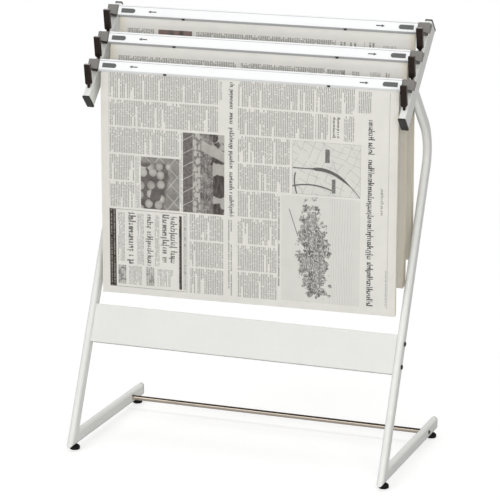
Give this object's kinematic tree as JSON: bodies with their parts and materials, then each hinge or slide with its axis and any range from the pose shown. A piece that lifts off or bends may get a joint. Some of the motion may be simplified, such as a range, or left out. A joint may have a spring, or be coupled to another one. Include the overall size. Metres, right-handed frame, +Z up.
{
  "type": "newspaper rack",
  "caption": "Free-standing newspaper rack: two bent-tube side frames with sloping arms carry clamping bar holders, each with a hanging newspaper.",
  "frame": {"origin": "on the floor, midway between the side frames and midway between the front and back of the base", "axes": "+X to the right seen from the front, +Y to the back, +Z up"},
  "size_m": [0.5972, 0.3277, 0.7692],
  "materials": {
    "white_coat": "satin white powder coat",
    "panel_coat": "satin white powder coat on sheet steel",
    "dark_plug": "satin moulded plastic",
    "black_cap": "fine-grained black plastic",
    "black_steel": "black oxide",
    "zinc_steel": "bright zinc",
    "rod_steel": "stainless, drawn lengthways",
    "black_cradle": "glossy brown-black moulding with ribs",
    "black_foot": "satin black",
    "bar_white": "smooth white coat on extruded aluminium",
    "jaw_aluminium": "anodised extrusion",
    "pin_steel": "ground",
    "grip_rubber": "matt black",
    "block_grey": "fine-grained grey plastic",
    "button_grey": "dark grey, ribbed",
    "newsprint": "uncoated newsprint with illegible grey print"
  },
  "bodies": {
    "frame": {"leg_tube_left": "white_coat", "base_rail_left": "white_coat", "arm_left": "white_coat", "base_plug_left": "dark_plug", "arm_cap_front_left": "black_cap", "arm_cap_rear_left": "black_cap", "leg_tube_right": "white_coat", "base_rail_right": "white_coat", "arm_right": "white_coat", "base_plug_right": "dark_plug", "arm_cap_front_right": "black_cap", "arm_cap_rear_right": "black_cap", "cross_panel": "panel_coat", "panel_bolts": "black_steel", "panel_nuts": "zinc_steel", "cross_rod": "rod_steel", "rod_screws": "black_steel", "foot_inserts": "zinc_steel", "cradle_1_left": "black_cradle", "cradle_1_right": "black_cradle", "cradle_2_left": "black_cradle", "cradle_2_right": "black_cradle", "cradle_3_left": "black_cradle", "cradle_3_right": "black_cradle", "cradle_screws": "black_steel"},
    "foot_front_left_body": {"foot_front_left": "black_foot"},
    "foot_front_right_body": {"foot_front_right": "black_foot"},
    "foot_rear_left_body": {"foot_rear_left": "black_foot"},
    "foot_rear_right_body": {"foot_rear_right": "black_foot"},
    "holder_1": {"holder_1_face_rail": "bar_white", "holder_1_hinge_pin": "pin_steel", "holder_1_end_block_left": "block_grey", "holder_1_end_block_right": "block_grey", "holder_1_newspaper": "newsprint"},
    "holder_1_jaw_body": {"holder_1_jaw": "jaw_aluminium", "holder_1_grip_strip": "grip_rubber"},
    "holder_1_button_left_body": {"holder_1_button_left": "button_grey"},
    "holder_1_button_right_body": {"holder_1_button_right": "button_grey"},
    "holder_2": {"holder_2_face_rail": "bar_white", "holder_2_hinge_pin": "pin_steel", "holder_2_end_block_left": "block_grey", "holder_2_end_block_right": "block_grey", "holder_2_newspaper": "newsprint"},
    "holder_2_jaw_body": {"holder_2_jaw": "jaw_aluminium", "holder_2_grip_strip": "grip_rubber"},
    "holder_2_button_left_body": {"holder_2_button_left": "button_grey"},
    "holder_2_button_right_body": {"holder_2_button_right": "button_grey"},
    "holder_3": {"holder_3_face_rail": "bar_white", "holder_3_hinge_pin": "pin_steel", "holder_3_end_block_left": "block_grey", "holder_3_end_block_right": "block_grey", "holder_3_newspaper": "newsprint"},
    "holder_3_jaw_body": {"holder_3_jaw": "jaw_aluminium", "holder_3_grip_strip": "grip_rubber"},
    "holder_3_button_left_body": {"holder_3_button_left": "button_grey"},
    "holder_3_button_right_body": {"holder_3_button_right": "button_grey"}
  },
  "joints": [
    {"name": "foot_front_left_screw", "type": "slide", "parent": "frame", "child": "foot_front_left_body", "axis": [0, 0, -1], "range_m": [-0.001, 0.006]},
    {"name": "foot_front_right_screw", "type": "slide", "parent": "frame", "child": "foot_front_right_body", "axis": [0, 0, -1], "range_m": [-0.001, 0.006]},
    {"name": "foot_rear_left_screw", "type": "slide", "parent": "frame", "child": "foot_rear_left_body", "axis": [0, 0, -1], "range_m": [-0.001, 0.006]},
    {"name": "foot_rear_right_screw", "type": "slide", "parent": "frame", "child": "foot_rear_right_body", "axis": [0, 0, -1], "range_m": [-0.001, 0.006]},
    {"name": "holder_1_lift", "type": "slide", "parent": "frame", "child": "holder_1", "axis": [0, -0.1392, 0.9903], "range_m": [0, 0.1]},
    {"name": "holder_1_jaw_hinge", "type": "hinge", "parent": "holder_1", "child": "holder_1_jaw_body", "pos_m": [0, -0.01728, 0.67572], "axis": [1, 0, 0], "range_deg": [0, 20], "stiffness_Nm_per_rad": 0.4, "springref_deg": -20.05},
    {"name": "holder_1_button_left_push", "type": "slide", "parent": "holder_1", "child": "holder_1_button_left_body", "axis": [0, 0.8796, -0.4756], "range_m": [0, 0.0018]},
    {"name": "holder_1_button_right_push", "type": "slide", "parent": "holder_1", "child": "holder_1_button_right_body", "axis": [0, 0.8796, -0.4756], "range_m": [0, 0.0018]},
    {"name": "holder_2_lift", "type": "slide", "parent": "frame", "child": "holder_2", "axis": [0, -0.1392, 0.9903], "range_m": [0, 0.1]},
    {"name": "holder_2_jaw_hinge", "type": "hinge", "parent": "holder_2", "child": "holder_2_jaw_body", "pos_m": [0, 0.02588, 0.7174], "axis": [1, 0, 0], "range_deg": [0, 20], "stiffness_Nm_per_rad": 0.4, "springref_deg": -20.05},
    {"name": "holder_2_button_left_push", "type": "slide", "parent": "holder_2", "child": "holder_2_button_left_body", "axis": [0, 0.8796, -0.4756], "range_m": [0, 0.0018]},
    {"name": "holder_2_button_right_push", "type": "slide", "parent": "holder_2", "child": "holder_2_button_right_body", "axis": [0, 0.8796, -0.4756], "range_m": [0, 0.0018]},
    {"name": "holder_3_lift", "type": "slide", "parent": "frame", "child": "holder_3", "axis": [0, -0.1392, 0.9903], "range_m": [0, 0.1]},
    {"name": "holder_3_jaw_hinge", "type": "hinge", "parent": "holder_3", "child": "holder_3_jaw_body", "pos_m": [0, 0.06904, 0.75908], "axis": [1, 0, 0], "range_deg": [0, 20], "stiffness_Nm_per_rad": 0.4, "springref_deg": -20.05},
    {"name": "holder_3_button_left_push", "type": "slide", "parent": "holder_3", "child": "holder_3_button_left_body", "axis": [0, 0.8796, -0.4756], "range_m": [0, 0.0018]},
    {"name": "holder_3_button_right_push", "type": "slide", "parent": "holder_3", "child": "holder_3_button_right_body", "axis": [0, 0.8796, -0.4756], "range_m": [0, 0.0018]}
  ],
  "couplings": [
    {"joint": "holder_1_button_left_push", "follows": "holder_1_jaw_hinge", "m_per_rad": 0.00487},
    {"joint": "holder_1_button_right_push", "follows": "holder_1_jaw_hinge", "m_per_rad": 0.00487},
    {"joint": "holder_2_button_left_push", "follows": "holder_2_jaw_hinge", "m_per_rad": 0.00487},
    {"joint": "holder_2_button_right_push", "follows": "holder_2_jaw_hinge", "m_per_rad": 0.00487},
    {"joint": "holder_3_button_left_push", "follows": "holder_3_jaw_hinge", "m_per_rad": 0.00487},
    {"joint": "holder_3_button_right_push", "follows": "holder_3_jaw_hinge", "m_per_rad": 0.00487}
  ]
}
